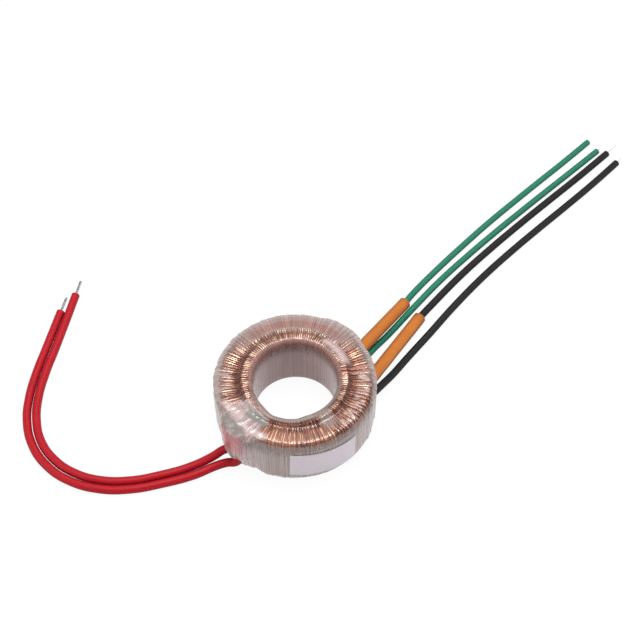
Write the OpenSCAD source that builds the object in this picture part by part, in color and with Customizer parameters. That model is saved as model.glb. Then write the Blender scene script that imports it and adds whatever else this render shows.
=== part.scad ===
// Small toroidal mains transformer with flying leads, wrapped in clear polyester film.
// Millimetres. The origin is the centre of the underside, and +Z is the ring's own axis.
// Two red primary leads leave towards -X -Y. Two secondaries, with green and with black
// leads, leave towards +X +Y. From the bore outwards and inwards the layers are core,
// moulded caps, primary, tape, interleaved secondaries and film.

/* [Wrapped ring] */
// Outer diameter of the wrapped ring
ring_d = 48; // [46:0.5:58]
// Height over the ridges beside the bore
ring_h = 20.4; // [17:0.1:25]
// Diameter of the bore
bore_d = 24.8; // [20.6:0.1:26]
// Width of the ridge where the turns crowd beside the bore
ridge_w = 4.4; // [4:0.1:5.2]
// Rounding of that ridge
ridge_r = 1.6; // [1.5:0.05:1.9]
// How far the flat of each face lies below its ridge
field_drop = 0.8; // [0.7:0.1:1.1]
// How far the valley beside the ridge dips below that flat
valley_drop = 0.5; // [0.3:0.05:0.6]
// Rounding of the outer edges
edge_r = 2.3; // [2:0.1:2.8]

/* [Film, tape and label] */
// Thickness of the outer film, all layers together
film_t = 0.3; // [0.25:0.05:0.35]
// Thickness of the tape over the primary
tape_t = 0.2; // [0.15:0.05:0.25]
// Play between one layer and the next
play = 0.05; // [0.03:0.01:0.06]
// Thickness of the blank paper label
label_t = 0.12; // [0.08:0.02:0.2]
// Length of the label round the wall
label_w = 21; // [15:0.5:24]
// Height of the label
label_h = 11; // [8:0.5:12]

/* [Windings] */
// Secondary wire diameter
wire_d = 0.46; // [0.36:0.01:0.48]
// Turns of each secondary in a full circle
turns_per_circle = 72; // [60:1:72]
// Build of the primary on the outer wall
primary_outer = 0.9; // [0.7:0.05:1.1]
// Build of the primary on the two faces
primary_face = 1.1; // [0.9:0.05:1.3]
// Build of the primary in the bore, where its turns crowd
primary_bore = 1.6; // [1.3:0.05:1.9]

/* [Core] */
// Wall of the moulded core caps
cap_t = 0.6; // [0.5:0.05:0.8]
// Thickness of the silicon steel strip
strip_t = 0.3; // [0.25:0.05:0.35]

/* [Leads] */
// Diameter of the primary leads
red_d = 2.65; // [2.2:0.05:2.7]
// Diameter of the green secondary leads
green_d = 2.1; // [1.6:0.05:2.2]
// Diameter of the black secondary leads
black_d = 2.35; // [1.8:0.05:2.4]
// Outer diameter of the orange sleeves
sleeve_d = 4; // [3.6:0.1:4.1]
// Bore of the orange sleeves
sleeve_bore = 3; // [2.8:0.1:3.2]
// Diameter of the tinned ends of the primary leads
red_core_d = 0.8; // [0.6:0.05:1]
// Diameter of the tinned ends of the secondary leads
thin_core_d = 0.5; // [0.3:0.05:0.7]

/* [Hidden] */
$fn = 96;

ring_r = ring_d / 2;
bore_r = bore_d / 2;
mid_z = ring_h / 2;

// Depths of the layers below the outside of the film.
wire_depth = film_t + 2 * play + wire_d / 2;
tape_depth = wire_depth + wire_d / 2 + 2 * play;
primary_depth = tape_depth + tape_t + play;

// The layers under the secondaries are rounder than the film at both corners.
layer_ridge_r = ridge_r + 0.2;
layer_edge_r = edge_r + 0.8;

// The field rises from the valley beside the ridge to its crest.
valley_x = bore_r + ridge_w;
crest_x = ring_r - edge_r - 0.4;
valley_slope = valley_drop / (crest_x - valley_x);

// Core caps: the envelope that the primary is wound on, and the core inside them.
cap_in_r = bore_r + primary_depth + primary_bore + play;
cap_out_r = ring_r - primary_depth - primary_outer - play;
cap_bottom = field_drop + primary_depth + primary_face + play;
cap_top = ring_h - cap_bottom;
cap_r = 1.6;
cap_joint = 0.2;
core_in_r = cap_in_r + cap_t + play;
core_out_r = cap_out_r - cap_t - play;
core_bottom = cap_bottom + cap_t + play;
core_top = ring_h - core_bottom;

// Where the leads leave: azimuths of the two groups, and how far along the wall
// and how high each lead leaves.
primary_az = -135;
secondary_az = 30;
red_spread = 2.1;
green_a_arc = 5.2;
green_b_arc = 2.2;
black_a_arc = -4.5;
black_b_arc = -9;
sleeve_exit_z = 7;
lead_exit_z = 5.5;
hole_play = 0.15;
// How far from the axis the leads begin.
lead_start_r = ring_r - film_t + 0.15;
sleeved_start_r = ring_r + 0.5;

// Inside the pad: height of the primary leads' inner ends, of the soldered joints
// over them and of the winding's ends that come down to them.
red_run_r = ring_r - tape_depth + 3 * play + red_d / 2;
red_run_bottom = 5.6;
red_run_top = ring_h - 7.2;
joint_sleeve_d = 2.2;
joint_sleeve_bore = 1.3;
joint_sleeve_h = 2.6;
joint_d = 1;
joint_h = 2.2;
tail_d = 0.4;
tail_bend_d = 0.5;

// The primary's ends leave square to the rounding of its upper outer edge.
tail_slope = 20;
edge_c = [ring_r - layer_edge_r, ring_h - field_drop - layer_edge_r];
tail_start = edge_c
    + (layer_edge_r - primary_depth - 0.15) * [cos(tail_slope), sin(tail_slope)];
tail_bend = [red_run_r, edge_c.y + (red_run_r - edge_c.x) * tan(tail_slope)];

// The blister that the film makes over the primary leads.
blister_r = 8;
blister_edge_r = edge_r - 0.6;
blister_bottom = field_drop + 0.45;
blister_top = ring_h - blister_bottom;
blister_c = sqrt(pow(blister_r - film_t - 3 * play - red_d / 2, 2) - pow(red_spread, 2));
blister_x = red_run_r - blister_c;

// The sector that the secondaries leave free for the pad.
pad_half = 17;
pad_clear = 1;
pad_bottom = red_run_bottom + 0.7;
pad_inner_r = bore_r + 1.6;

// Label: middle azimuth, height of its middle and tilt.
label_az = -68;
label_z = 9.2;
label_tilt = -2;

function unit(v) = v / norm(v);
function polar(r, az, z) = [r * cos(az), r * sin(az), z];
function wall_az(az, arc) = az + arc / ring_r * 180 / PI;
function from_anchor(az, steps) = [for (s = steps) polar(ring_r, az, 0) + s];

// Free leads. After the wall, each step is measured from the anchor point of its group,
// which lies on the wall, so the leads keep their distances if the ring changes.
red_a_steps = [[-3.9, 1.5, 4.3], [-7.3, 0, 2.8], [-13.6, -2.6, 1.4], [-22.6, -5.6, 1.4],
    [-31.4, -7.4, 1.4], [-39.9, -7.3, 1.4], [-48, -4.8, 1.4], [-54.5, -0.3, 1.4],
    [-59.3, 6.1, 1.4], [-61.7, 13.7, 1.4], [-62.2, 21.6, 1.4], [-61.3, 30.1, 1.4],
    [-59.5, 39.4, 1.4], [-57.3, 51.2, 1.4], [-55.5, 61.4, 1.4]];
red_b_steps = [[-0.6, -2, 3], [-2.9, -1.9, 2.5], [-6, -2.5, 1.8], [-12.7, -5.5, 1.4],
    [-21.8, -8.3, 1.4], [-31.1, -10.2, 1.4], [-40.2, -10.1, 1.4], [-49.2, -7.4, 1.4],
    [-56.5, -2.3, 1.4], [-61.8, 4.9, 1.4], [-64.5, 13.2, 1.4], [-65, 21.7, 1.4],
    [-64.1, 30.5, 1.4], [-62.3, 40, 1.4], [-59.5, 54.5, 1.4]];
green_a_steps = [[14.2, 28.7, 2.05], [17.5, 33.8, 1.1], [26.3, 44.2, 1.1],
    [35.4, 54.3, 1.1], [44.7, 64.2, 1.1], [54.3, 73.8, 1.1], [64, 83.3, 1.1],
    [73.8, 92.8, 1.1], [83.4, 102.4, 1.1]];
green_b_steps = [[3.5, 9.8, 2.9], [8.1, 16, 1.4], [17.1, 27.5, 1.1], [26.1, 38.4, 1.1],
    [35.7, 48.8, 1.1], [45.5, 58.8, 1.1], [55.6, 68.7, 1.1], [65.7, 78.4, 1.1],
    [75.9, 88.1, 1.1], [86.1, 97.9, 1.1]];
black_a_steps = [[18.7, 22.7, 2.05], [23.1, 28.7, 1.23], [33.3, 40.8, 1.23],
    [44.1, 52.3, 1.23], [55.3, 63.5, 1.23], [66.7, 74.5, 1.23], [78.1, 85.4, 1.23],
    [89.4, 96.6, 1.23]];
black_b_steps = [[6.1, -4, 4.1], [9, 0, 2.8], [14.2, 7.4, 1.6], [21.2, 16.4, 1.23],
    [30.3, 28.1, 1.23], [39.9, 39.4, 1.23], [50.1, 50.2, 1.23], [60.6, 60.6, 1.23],
    [71.3, 70.9, 1.23], [81.9, 81.3, 1.23], [92.2, 92, 1.23]];

function red_run(arc) = [polar(red_run_r, wall_az(primary_az, arc), red_run_top),
    polar(red_run_r, wall_az(primary_az, arc), red_run_bottom)];
function wall_start(arc) = [polar(lead_start_r, wall_az(secondary_az, arc), lead_exit_z)];
function sleeved_start(arc) =
    [polar(sleeved_start_r, wall_az(secondary_az, arc), sleeve_exit_z)];

red_a_path = concat(red_run(-red_spread), from_anchor(primary_az, red_a_steps));
red_b_path = concat(red_run(red_spread), from_anchor(primary_az, red_b_steps));
green_a_path = concat(sleeved_start(green_a_arc),
    from_anchor(secondary_az, green_a_steps));
green_b_path = concat(wall_start(green_b_arc),
    from_anchor(secondary_az, green_b_steps));
black_a_path = concat(sleeved_start(black_a_arc),
    from_anchor(secondary_az, black_a_steps));
black_b_path = concat(wall_start(black_b_arc),
    from_anchor(secondary_az, black_b_steps));

// Lengths of the tinned ends.
red_bare = 6;
green_a_bare = 1;
green_b_bare = 1.5;
black_a_bare = 6;
black_b_bare = 3;

// ---- Sweeping a round section along a path ----

// Heading at each point: halfway between the run before it and the run after it.
function headings(path) = let (last = len(path) - 1) [for (i = [0 : last])
    unit((i < last ? unit(path[i + 1] - path[i]) : [0, 0, 0])
        + (i > 0 ? unit(path[i] - path[i - 1]) : [0, 0, 0]))];
function square_to(heading, v) = unit(v - heading * (v * heading));
// Side direction at each point, carried along the path without twist.
function sides_of(heads) = [for (i = 0, u = square_to(heads[0],
        abs(heads[0].z) < 0.9 ? [0, 0, 1] : [1, 0, 0]);
    i < len(heads);
    i = i + 1, u = square_to(heads[min(i, len(heads) - 1)], u)) u];

module sweep(path, d, sides) {
    heads = headings(path);
    ups = sides_of(heads);
    last = len(path) - 1;
    points = [for (i = [0 : last], s = [0 : sides - 1])
        path[i] + d / 2 * (cos(360 * s / sides) * ups[i]
            + sin(360 * s / sides) * cross(heads[i], ups[i]))];
    walls = [for (i = [0 : last - 1], s = [0 : sides - 1]) let (t = (s + 1) % sides)
        [i * sides + s, i * sides + t, (i + 1) * sides + t, (i + 1) * sides + s]];
    start_cap = [for (s = [sides - 1 : -1 : 0]) s];
    end_cap = [for (s = [0 : sides - 1]) last * sides + s];
    polyhedron(points, concat([start_cap], walls, [end_cap]), convexity = 10);
}

module lead(path, d) {
    sweep(path, d, 8);
}

// The path with its first point drawn back into the ring, and the body of the turns
// that whatever leaves the wall at a slant is trimmed to.
function drawn_in(path) = concat([path[0] - 2 * unit(path[1] - path[0])],
    [for (i = [1 : len(path) - 1]) path[i]]);

module turns_body() {
    cylinder(r = ring_r - film_t + play, h = ring_h);
}

// A straight round rod from one point to another.
module rod(from, to, d) {
    run = to - from;
    translate(from)
        rotate([0, acos(run.z / norm(run)), atan2(run.y, run.x)])
            cylinder(d = d, h = norm(run));
}

// The tinned end of a lead, straight on from its last point.
module bare_end(path, d, length) {
    tip = path[len(path) - 1];
    rod(tip, tip + length * unit(tip - path[len(path) - 2]), d);
}

// ---- Sections of the wound ring ----

module rounded_box(x0, x1, y0, y1, r) {
    translate([x0 + r, y0]) square([x1 - x0 - 2 * r, y1 - y0]);
    translate([x0, y0 + r]) square([x1 - x0, y1 - y0 - 2 * r]);
    for (x = [x0 + r, x1 - r], y = [y0 + r, y1 - r]) translate([x, y]) circle(r);
}

// Half section of the wound ring at a depth below its outside: the ridge beside the
// bore, and the lower field that rounds down to the outer wall. The two radii are those
// of the ridge and of the outer edge at depth 0.
module wound_section(depth, ridge_r0, edge_r0) {
    rounded_box(bore_r + depth, bore_r + ridge_w - depth, depth, ring_h - depth,
        ridge_r0 - depth);
    r = edge_r0 - depth;
    middle = bore_r + ridge_w / 2;
    wall = ring_r - depth;
    bottom = field_drop + depth;
    top = ring_h - field_drop - depth;
    difference() {
        union() {
            translate([middle, bottom]) square([wall - r - middle, top - bottom]);
            translate([middle, bottom + r]) square([wall - middle, top - bottom - 2 * r]);
            for (y = [bottom + r, top - r]) translate([wall - r, y]) circle(r);
        }
        valley(middle, top, 1);
        valley(middle, bottom, -1);
    }
}

// What the valley takes off the field's face at height z; up is 1 above and -1 below.
module valley(start_x, z, up) {
    polygon([[crest_x, z], [start_x, z - up * valley_slope * (crest_x - start_x)],
        [start_x, z + up], [crest_x, z + up]]);
}

module film_ring(depth) {
    rotate_extrude() wound_section(depth, ridge_r, edge_r);
}

module layer_ring(depth) {
    rotate_extrude() wound_section(depth, layer_ridge_r, layer_edge_r);
}

module blister(depth) {
    rotate([0, 0, primary_az]) translate([blister_x, 0, 0]) rotate([0, 0, -90])
        rotate_extrude(angle = 180) intersection() {
            rounded_box(depth - blister_r, blister_r - depth, blister_bottom + depth,
                blister_top - depth, blister_edge_r);
            square([blister_r, ring_h]);
        }
}

module cap_section(grow) {
    rounded_box(cap_in_r - grow, cap_out_r + grow, cap_bottom - grow, cap_top + grow,
        cap_r + grow);
}

// ---- Core and its caps ----

// Strip wound in a spiral: each half ring is struck from its own centre, so that the
// outer end of the strip stands one thickness proud, and so does the inner end.
module core() {
    color("dimgray") difference() {
        core_half(core_out_r, 0, 0);
        core_half(core_in_r, strip_t, 1);
    }
}

module core_half(r, shrink, over) {
    translate([0, 0, core_bottom - over]) {
        intersection() {
            cylinder(r = r + shrink, h = core_top - core_bottom + 2 * over);
            translate([-2 * r, 0, 0]) cube([4 * r, 2 * r, core_top]);
        }
        intersection() {
            translate([strip_t / 2, 0, 0])
                cylinder(r = r + shrink - strip_t / 2, h = core_top - core_bottom + 2 * over);
            translate([-2 * r, -2 * r, 0]) cube([4 * r, 2 * r, core_top]);
        }
    }
}

module core_cap() {
    color("ivory") rotate_extrude() intersection() {
        difference() {
            cap_section(0);
            translate([core_in_r - play, core_bottom - play])
                square([core_out_r - core_in_r + 2 * play, core_top - core_bottom + 2 * play]);
        }
        translate([0, mid_z + cap_joint / 2]) square([ring_r, ring_h]);
    }
}

module core_cap_upper() {
    core_cap();
}

module core_cap_lower() {
    translate([0, 0, ring_h]) mirror([0, 0, 1]) core_cap();
}

// ---- Primary ----

// Many layers of fine wire, packed solid, with its two ends led out over the joints.
module primary_winding() {
    color("chocolate") {
        rotate_extrude() difference() {
            wound_section(primary_depth, layer_ridge_r, layer_edge_r);
            cap_section(play);
        }
        for (arc = [-red_spread, red_spread]) primary_tail(arc);
    }
}

module primary_tail(arc) {
    bend = [tail_bend.x, 0, tail_bend.y];
    rotate([0, 0, wall_az(primary_az, arc)]) {
        rod([tail_start.x, 0, tail_start.y], bend, tail_d);
        translate(bend) sphere(d = tail_bend_d);
        rod([red_run_r, 0, red_run_top + joint_h], bend, tail_d);
    }
}

module primary_tape() {
    color("khaki") difference() {
        layer_ring(tape_depth);
        layer_ring(tape_depth + tape_t);
        for (arc = [-red_spread, red_spread])
            rotate([0, 0, wall_az(primary_az, arc)])
                rod([tail_start.x, 0, tail_start.y], [tail_bend.x, 0, tail_bend.y],
                    tail_d + 2 * hole_play);
    }
}

// ---- Secondaries: two wires wound side by side, turn by turn ----

slot = 360 / turns_per_circle;
film_corner = ridge_r - film_t - wire_d / 2 - play / 2;
film_edge = edge_r - film_t - wire_d / 2 - play / 2;
wire_corner = ridge_r - wire_depth;
wire_edge = edge_r - wire_depth;
// How far the wire runs on past the start of each bend before it cuts the corner.
ridge_ease = sqrt(pow(film_corner, 2) - pow(wire_corner, 2));
edge_ease = sqrt(pow(film_edge, 2) - pow(wire_edge, 2));
crease = 0.2;

// Radius and height of a turn's bends over the upper half, from the outer wall to the bore.
turn_top = [
    [ring_r - wire_depth, ring_h - field_drop - edge_r + edge_ease],
    [ring_r - edge_r + edge_ease, ring_h - field_drop - wire_depth],
    [valley_x - wire_depth + crease, ring_h - field_drop - valley_drop - wire_depth],
    [bore_r + ridge_w - ridge_r + ridge_ease, ring_h - wire_depth],
    [bore_r + ridge_r - ridge_ease, ring_h - wire_depth],
    [bore_r + wire_depth, ring_h - ridge_r + ridge_ease]];
turn_bottom = [for (i = [5 : -1 : 0]) [turn_top[i].x, ring_h - turn_top[i].y]];

function turn_points(bends, az) = [for (b = bends) polar(b.x, az, b.y)];

// Azimuths of one secondary's turns: every slot from its start to its finish, less
// the sector where the primary leads lie under their pad. The two wires share that
// choice, so that they stay side by side.
function turn_slots(start_az, end_az, shift) = [
    for (k = [round((start_az - shift) / slot) : round((end_az - shift) / slot) - 1])
        if (abs((k + 0.25) * slot - (primary_az + 360)) > pad_half) k * slot + shift];

// Down the bore the wire moves on to the next slot, in short steps where it has to
// cross the free sector.
function bore_crossing(from, to) = let (steps = round((to - from) / slot)) [
    for (i = [1 : 1 : steps - 1]) let (part = i / steps)
        polar(bore_r + wire_depth, from + part * (to - from),
            turn_top[5].y + part * (ring_h - 2 * turn_top[5].y))];

function winding_path(start_az, end_az, shift, start_z, end_z) =
    let (slots = turn_slots(start_az, end_az, shift), last = len(slots) - 1)
    [polar(ring_r - wire_depth, slots[0], start_z),
        for (i = [0 : last])
            let (next = i < last ? slots[i + 1] : slots[last] + slot)
                each concat(turn_points(turn_top, slots[i]), bore_crossing(slots[i], next),
                    turn_points(turn_bottom, next)),
        polar(ring_r - wire_depth, slots[last] + slot, end_z)];

module secondary(start_arc, end_arc, shift) {
    sweep(winding_path(wall_az(secondary_az, start_arc), wall_az(secondary_az, end_arc) + 360,
        shift, sleeve_exit_z, lead_exit_z), wire_d, 4);
}

module green_winding() {
    color("peru") secondary(green_a_arc, green_b_arc, 0);
}

module black_winding() {
    color("sandybrown") secondary(black_a_arc, black_b_arc, slot / 2);
}

// ---- Primary joints and their pad ----

module at_joint(arc) {
    rotate([0, 0, wall_az(primary_az, arc)]) translate([red_run_r, 0, red_run_top]) children();
}

module solder_joint(arc) {
    color("silver") at_joint(arc) cylinder(d = joint_d, h = joint_h);
}

module joint_sleeve(arc) {
    color("white") at_joint(arc) difference() {
        cylinder(d = joint_sleeve_d, h = joint_sleeve_h);
        translate([0, 0, -1]) cylinder(d = joint_sleeve_bore, h = joint_sleeve_h + 2);
    }
}

// Slot in the pad for one lead, its joint and the winding's end, open to the inside.
module pad_slot(arc) {
    slot_r = red_d / 2 + play;
    rotate([0, 0, wall_az(primary_az, arc)]) translate([0, 0, pad_bottom - 1])
        linear_extrude(tail_bend.y + tail_bend_d - pad_bottom + 1) {
            translate([red_run_r, 0]) circle(slot_r);
            translate([red_run_r - 3, -slot_r]) square([3, 2 * slot_r]);
        }
}

module lead_pad() {
    color("gainsboro") difference() {
        intersection() {
            union() {
                film_ring(film_t + play);
                blister(film_t + play);
            }
            rotate([0, 0, primary_az - pad_half + pad_clear])
                rotate_extrude(angle = 2 * (pad_half - pad_clear))
                    translate([pad_inner_r, pad_bottom]) square([ring_r, ring_h]);
        }
        layer_ring(tape_depth - play);
        pad_slot(-red_spread);
        pad_slot(red_spread);
    }
}

// ---- Film and label ----

// Passage of a lead through the film, along the runs that cross it.
module passage(path, first, last, d) {
    lead([for (i = [first : last]) path[i]], d + 2 * hole_play);
}

module exit_hole(path, d) {
    run = unit(path[1] - path[0]);
    rod(path[0] - 4 * run, path[0] + 4 * run, d + 2 * hole_play);
}

module outer_wrap() {
    color("rosybrown", 0.5) difference() {
        union() {
            film_ring(0);
            blister(0);
        }
        film_ring(film_t);
        blister(film_t);
        passage(red_a_path, 1, 4, red_d);
        passage(red_b_path, 1, 4, red_d);
        exit_hole(green_a_path, sleeve_d);
        exit_hole(green_b_path, green_d);
        exit_hole(black_a_path, sleeve_d);
        exit_hole(black_b_path, black_d);
    }
}

module blank_label() {
    color("lavender") intersection() {
        difference() {
            film_ring(-label_t - play);
            film_ring(-play);
        }
        rotate([0, 0, label_az]) translate([ring_r, 0, label_z]) rotate([label_tilt, 0, 0])
            cube([4 * edge_r, label_w, label_h], center = true);
    }
}

// ---- Leads ----

// A bare lead that leaves the wall at a slant, trimmed to the turns behind it.
module slanting_lead(path, d) {
    difference() {
        lead(drawn_in(path), d);
        turns_body();
    }
}

module red_lead_a() {
    color("crimson") lead(red_a_path, red_d);
}

module red_lead_b() {
    color("crimson") lead(red_b_path, red_d);
}

module red_end_a() {
    color("silver") bare_end(red_a_path, red_core_d, red_bare);
}

module red_end_b() {
    color("silver") bare_end(red_b_path, red_core_d, red_bare);
}

module green_lead_a() {
    color("seagreen") lead(green_a_path, green_d);
}

module green_lead_b() {
    color("seagreen") slanting_lead(green_b_path, green_d);
}

module green_end_a() {
    color("silver") bare_end(green_a_path, thin_core_d, green_a_bare);
}

module green_end_b() {
    color("silver") bare_end(green_b_path, thin_core_d, green_b_bare);
}

module black_lead_a() {
    color("#262426") lead(black_a_path, black_d);
}

module black_lead_b() {
    color("#262426") slanting_lead(black_b_path, black_d);
}

module black_end_a() {
    color("silver") bare_end(black_a_path, thin_core_d, black_a_bare);
}

module black_end_b() {
    color("silver") bare_end(black_b_path, thin_core_d, black_b_bare);
}

// Sleeve over the start of a secondary lead, trimmed to the turns it stands on.
module sleeve(path) {
    start = drawn_in(path)[0];
    run = unit(path[1] - path[0]);
    color("darkorange") difference() {
        rod(start, path[1], sleeve_d);
        rod(start - run, path[1] + run, sleeve_bore);
        turns_body();
    }
}

module green_sleeve() {
    sleeve(green_a_path);
}

module black_sleeve() {
    sleeve(black_a_path);
}

core();
core_cap_upper();
core_cap_lower();
primary_winding();
primary_tape();
green_winding();
black_winding();
solder_joint(-red_spread);  // solder_joint_a
solder_joint(red_spread);  // solder_joint_b
joint_sleeve(-red_spread);  // joint_sleeve_a
joint_sleeve(red_spread);  // joint_sleeve_b
lead_pad();
outer_wrap();
blank_label();
red_lead_a();
red_lead_b();
red_end_a();
red_end_b();
green_lead_a();
green_lead_b();
green_end_a();
green_end_b();
black_lead_a();
black_lead_b();
black_end_a();
black_end_b();
green_sleeve();
black_sleeve();
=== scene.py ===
import math
import random
import bpy
import bmesh
from mathutils import Matrix, Vector, noise


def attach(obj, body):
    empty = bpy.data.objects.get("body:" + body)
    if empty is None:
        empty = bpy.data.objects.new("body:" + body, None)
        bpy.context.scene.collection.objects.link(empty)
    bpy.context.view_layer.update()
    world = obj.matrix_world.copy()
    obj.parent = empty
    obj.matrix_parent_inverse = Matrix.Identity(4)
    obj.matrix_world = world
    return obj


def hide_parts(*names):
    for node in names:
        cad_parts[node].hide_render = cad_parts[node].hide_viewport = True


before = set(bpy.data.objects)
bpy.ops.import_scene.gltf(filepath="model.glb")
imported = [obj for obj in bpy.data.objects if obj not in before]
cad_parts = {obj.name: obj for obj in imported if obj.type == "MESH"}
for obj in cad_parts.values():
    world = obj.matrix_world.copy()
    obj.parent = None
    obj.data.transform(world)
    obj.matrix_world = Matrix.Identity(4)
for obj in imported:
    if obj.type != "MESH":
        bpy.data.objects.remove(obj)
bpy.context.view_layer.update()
scene = bpy.context.scene
mm = 0.001

# Table, lamps and camera. The transformer lies on a plain white table under one wide
# soft lamp overhead and two weaker ones at the sides, in a pale room.

def shader(name):
    """A new material's node tree pieces: material, nodes, links and Principled shader."""
    made = bpy.data.materials.new(name)
    made.use_nodes = True
    nodes = made.node_tree.nodes
    return made, nodes, made.node_tree.links, nodes["Principled BSDF"]


def looked_at(nodes, links):
    """1 for rays that look at a surface straight, in a mirror or through a clear piece."""
    ray = nodes.new("ShaderNodeLightPath")
    total = ray.outputs["Is Camera Ray"]
    for kind in ("Is Glossy Ray", "Is Transmission Ray"):
        both = nodes.new("ShaderNodeMath")
        both.operation = "ADD"
        both.use_clamp = True
        links.new(total, both.inputs[0])
        links.new(ray.outputs[kind], both.inputs[1])
        total = both.outputs[0]
    return total


def sheet_white(name, lamp_share):
    """White that the camera and mirrors see as lit evenly, with a share left to the lamps."""
    made, nodes, links, lit = shader(name)
    lit.inputs["Base Color"].default_value = (0.86, 0.86, 0.86, 1)
    lit.inputs["Roughness"].default_value = 0.9
    lit.inputs["Specular IOR Level"].default_value = 0.1
    even = nodes.new("ShaderNodeEmission")
    even.inputs["Color"].default_value = (1, 1, 1, 1)
    share = nodes.new("ShaderNodeMath")
    share.operation = "MULTIPLY"
    share.inputs[1].default_value = 1 - lamp_share
    links.new(looked_at(nodes, links), share.inputs[0])
    mix = nodes.new("ShaderNodeMixShader")
    links.new(share.outputs[0], mix.inputs["Fac"])
    links.new(lit.outputs[0], mix.inputs[1])
    links.new(even.outputs[0], mix.inputs[2])
    links.new(mix.outputs[0], nodes["Material Output"].inputs["Surface"])
    return made


def keep(name, bm, finish, smooth=True):
    """The finished bmesh as an object at the origin, with its finish."""
    mesh = bpy.data.meshes.new(name)
    bm.to_mesh(mesh)
    bm.free()
    for face in mesh.polygons:
        face.use_smooth = smooth
    mesh.materials.append(finish)
    piece = bpy.data.objects.new(name, mesh)
    scene.collection.objects.link(piece)
    return piece


table_mesh = bmesh.new()
bmesh.ops.create_grid(table_mesh, x_segments=2, y_segments=2, size=8)
bmesh.ops.translate(table_mesh, vec=(0, 0, -0.1 * mm), verts=table_mesh.verts)
table = keep("table", table_mesh, sheet_white("table_white", 0.06), smooth=False)

room = bpy.data.worlds.new("room")
room.use_nodes = True
room_nodes = room.node_tree.nodes
room_light = room_nodes["Background"]
room_light.inputs["Color"].default_value = (1, 0.975, 0.955, 1)
room_light.inputs["Strength"].default_value = 0.38
room_seen = room_nodes.new("ShaderNodeBackground")
room_seen.inputs["Color"].default_value = (1, 1, 1, 1)
room_mix = room_nodes.new("ShaderNodeMixShader")
room.node_tree.links.new(looked_at(room_nodes, room.node_tree.links), room_mix.inputs["Fac"])
room.node_tree.links.new(room_light.outputs[0], room_mix.inputs[1])
room.node_tree.links.new(room_seen.outputs[0], room_mix.inputs[2])
room.node_tree.links.new(room_mix.outputs[0], room_nodes["World Output"].inputs["Surface"])
scene.world = room

for lamp_name, place, target, width, watts in (
        ("lamp_overhead", (0.05, 0.14, 0.75), (0, 0, 0), 0.34, 6.9),
        ("lamp_left", (-0.75, -0.25, 0.45), (0, 0, 0.01), 0.45, 3.0),
        ("lamp_right", (0.8, -0.1, 0.4), (0, 0, 0.01), 0.45, 2.6)):
    light = bpy.data.lights.new(lamp_name, "AREA")
    light.size = width
    light.energy = watts
    lamp = bpy.data.objects.new(lamp_name, light)
    lamp.location = place
    lamp.rotation_euler = (Vector(target) - Vector(place)).to_track_quat("-Z", "Y").to_euler()
    scene.collection.objects.link(lamp)

lens = bpy.data.cameras.new("camera")
lens.lens = 68.26
lens.clip_start = 0.01
camera = bpy.data.objects.new("camera", lens)
camera.location = (0.007408, -0.198160, 0.315505)
camera.rotation_euler = (math.radians(36.5), 0, 0)
scene.collection.objects.link(camera)
scene.camera = camera
scene.view_settings.view_transform = "Standard"

# Red primary leads: tinned stranded copper in soft PVC. They come down the outside of
# the ring under the film, leave it low on the wall and lie on the table in one wide bend.

ring_r = 24.0
film_t = 0.3
primary_az = -135.0
secondary_az = 30.0


def around(r, az, z):
    """A point at that radius and azimuth round the ring, in millimetres."""
    return Vector((r * math.cos(math.radians(az)), r * math.sin(math.radians(az)), z))


def wall_az(az, arc):
    """Azimuth of a place that lies that arc, in millimetres, along the wall from az."""
    return az + math.degrees(arc / ring_r)


def laid_out(az, steps):
    """The route's steps, each measured from the point on the wall at az."""
    return [around(ring_r, az, 0) + Vector(step) for step in steps]


def laid_lead(name, route, width, finish):
    """A round lead along its route, given in millimetres."""
    line = bpy.data.curves.new(name, "CURVE")
    line.dimensions = "3D"
    line.bevel_depth = width / 2 * mm
    line.bevel_resolution = 5
    line.resolution_u = 8
    line.use_fill_caps = True
    spline = line.splines.new("BEZIER")
    spline.bezier_points.add(len(route) - 1)
    for knot, place in zip(spline.bezier_points, route):
        knot.co = place * mm
        knot.handle_left_type = "AUTO"
        knot.handle_right_type = "AUTO"
    line.materials.append(finish)
    lead = bpy.data.objects.new(name, line)
    scene.collection.objects.link(lead)
    return lead


def stranded_end(name, route, length, width, strands, seed, finish):
    """The tinned conductor that stands out of a lead, its strands in a slow lay."""
    tip = route[-1]
    ahead = (route[-1] - route[-2]).normalized()
    side = ahead.cross(Vector((0, 0, 1))).normalized()
    up = side.cross(ahead)
    chance = random.Random(seed)
    strand_r = width / 5.4
    hidden = 0.6
    line = bpy.data.curves.new(name, "CURVE")
    line.dimensions = "3D"
    line.bevel_depth = strand_r * mm
    line.bevel_resolution = 1
    line.use_fill_caps = True
    for strand in range(strands):
        out = 0 if strand == 0 else width / 2 - strand_r
        start = 2 * math.pi * strand / max(1, strands - 1)
        reach = length * chance.uniform(0.88, 1)
        spline = line.splines.new("POLY")
        spline.points.add(10)
        for i, knot in enumerate(spline.points):
            along = (i / 10) * (reach + hidden) - hidden
            turn = start + along / (7 * width) * 2 * math.pi
            splay = out * (1 + 0.12 * max(0, along / length))
            place = tip + ahead * along + splay * (side * math.cos(turn) + up * math.sin(turn))
            knot.co = (*(place * mm), 1)
    line.materials.append(finish)
    end = bpy.data.objects.new(name, line)
    scene.collection.objects.link(end)
    return end


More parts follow.
